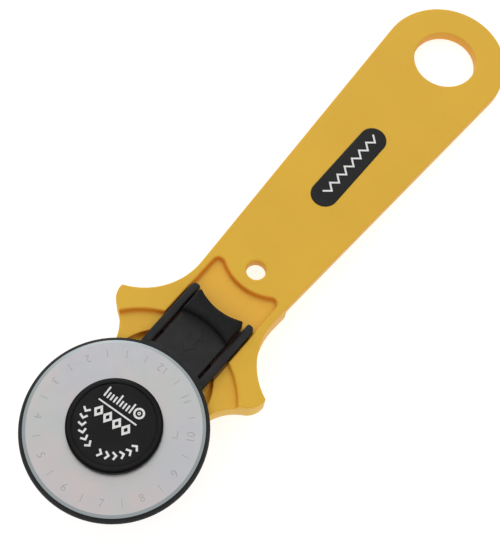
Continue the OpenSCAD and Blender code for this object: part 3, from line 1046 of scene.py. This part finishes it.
def make_knob(material):
    """The knob: a lip round the bolt's end, a ring groove, scallops and the insert's pocket."""
    lip_r, pocket_r = 4.3, 5.2
    low, high = NUT_BOTTOM, NUT_TOP
    low_round, high_round = 0.9, 0.4
    groove, ledge = low + 0.5, low + 1.0
    profile = [(lip_r, low + 0.2, 0), (lip_r + 0.2, low, 0),
               (5.5, low, 0), (5.7, low + 0.12, 0), (5.8, groove, 0),
               (7.7, groove, 0), (7.8, low + 0.12, 0), (8.0, low, 0), (8.5, low, 0.25)]
    profile += fillet_points(NUT_R - low_round, low + low_round, low_round, -90, 0, 6, 1.0)
    profile += fillet_points(NUT_R - high_round, high - high_round, high_round, 0, 90, 4, 1.0)
    profile += [(8.6, high, 0.3), (8.3, high, 0),
                (pocket_r, high, 0), (pocket_r, ledge, 0), (lip_r, ledge, 0)]
    verts, faces = lathe(profile, SCALLOPS * 20, scallops)
    piece = new_piece("knob_moulding", verts, faces, material, "nut", 42)
    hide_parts("nut_knob")


# ---------------------------------------------------------------- stage

def area_light(name, spot, target, size, power):
    """A round lamp at a spot, turned towards a target."""
    lamp = bpy.data.lights.new(name, "AREA")
    lamp.shape = "DISK"
    lamp.size = size
    lamp.energy = power
    holder = bpy.data.objects.new(name, lamp)
    bpy.context.scene.collection.objects.link(holder)
    holder.location = spot
    holder.rotation_mode = "QUATERNION"
    holder.rotation_quaternion = (target - spot).to_track_quat("-Z", "Y")


def make_stage(material):
    """A pale floor that the knob's rim and the handle's end rest on, and soft light."""
    near = Vector((NUT_R, 0, NUT_BOTTOM))
    far = Vector((END_X + END_R - HANDLE_EDGE, 0, GRIP_BACK))
    tilt = math.atan2(far.z - near.z, far.x - near.x)
    half, gap = 3.0, 0.00005
    mesh = bpy.data.meshes.new("floor")
    mesh.from_pydata([(-half, -half, 0), (half, -half, 0), (half, half, 0), (-half, half, 0)], [],
                     [(0, 1, 2, 3)])
    mesh.materials.append(material)
    floor = bpy.data.objects.new("floor", mesh)
    bpy.context.scene.collection.objects.link(floor)
    floor.matrix_world = (Matrix.Translation(HUB + near * MM) @ Matrix.Rotation(-tilt, 4, "Y")
                          @ Matrix.Translation((0, 0, -gap)))
    world = bpy.data.worlds.new("studio")
    world.use_nodes = True
    background = world.node_tree.nodes["Background"]
    background.inputs["Color"].default_value = (1, 1, 1, 1)
    background.inputs["Strength"].default_value = 0.80
    bpy.context.scene.world = world
    centre = HUB + Vector((65, 0, 0)) * MM
    area_light("key", centre + Vector((0.85, 1.0, 0.75)), centre, size=1.2, power=6.5)
    bpy.context.scene.view_settings.view_transform = "Standard"


def make_camera():
    """The viewpoint: above the blade end, a little to the handle's right, and rolled."""
    spot = HUB + Vector((-49.34, -58.52, 285.78)) * MM
    target = HUB + Vector((53.56, 0.59, 0)) * MM
    lens = bpy.data.cameras.new("camera")
    lens.sensor_width = 36
    lens.lens = 78.35
    lens.clip_start = 0.01
    camera = bpy.data.objects.new("camera", lens)
    bpy.context.scene.collection.objects.link(camera)
    camera.location = spot
    camera.rotation_mode = "QUATERNION"
    roll = Matrix.Rotation(math.radians(10.05), 3, "Z").to_quaternion()
    camera.rotation_quaternion = (target - spot).to_track_quat("-Z", "Y") @ roll
    bpy.context.scene.camera = camera


# ---------------------------------------------------------------- build

make_camera()
make_stage(floor_paper())

white_ink = print_ink("white_ink", (0.80, 0.80, 0.79), (0.62, 0.62, 0.62))
etched = print_ink("etched_grey", (0.38, 0.38, 0.40), (0.50, 0.50, 0.52))
# The second tone and shine of the cap and the guard are painted shade
cap_black = black_plastic("cap_black", (0.005, 0.005, 0.0053), 0.40, 0.50, 2600, 0.10, 0.17,
                          painted_shade=(0.0010, 0.0010, 0.0011), painted_shade_shine=0.05)
guard_black = black_plastic("guard_black", (0.0095, 0.0095, 0.0105), 0.58, 0.70, 1500, 0.25, 0.32,
                            painted_shade=(0.0018, 0.0018, 0.0021), painted_shade_shine=0.25)
knob_black = black_plastic("knob_black", (0.006, 0.006, 0.0065), 0.42, 0.55, 1500, 0.25, 0.32)
badge_black = black_plastic("badge_black", (0.005, 0.005, 0.0056), 0.32, 0.42, 2600, 0.08, 0.27)

make_handle(yellow_plastic())
make_badge(badge_black, white_ink)
make_guard(guard_black)
make_blade(ground_steel(), etched)
make_cap(cap_black, white_ink)
bolt_metal = plain_metal("bolt_metal", (0.60, 0.60, 0.61), (0.42, 0.42, 0.44), 0.24, 0.4)
spring_metal = plain_metal("spring_metal", (0.52, 0.52, 0.54), (0.36, 0.36, 0.38), 0.28, 0.42)
brass_metal = plain_metal("brass_metal", (0.64, 0.45, 0.17), (0.45, 0.30, 0.10), 0.26, 0.42)
make_bolt(bolt_metal)
make_knob(knob_black)
for node, material in (("spring_washer", spring_metal), ("nut_insert", brass_metal)):
    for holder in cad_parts[node].material_slots:
        holder.material = material
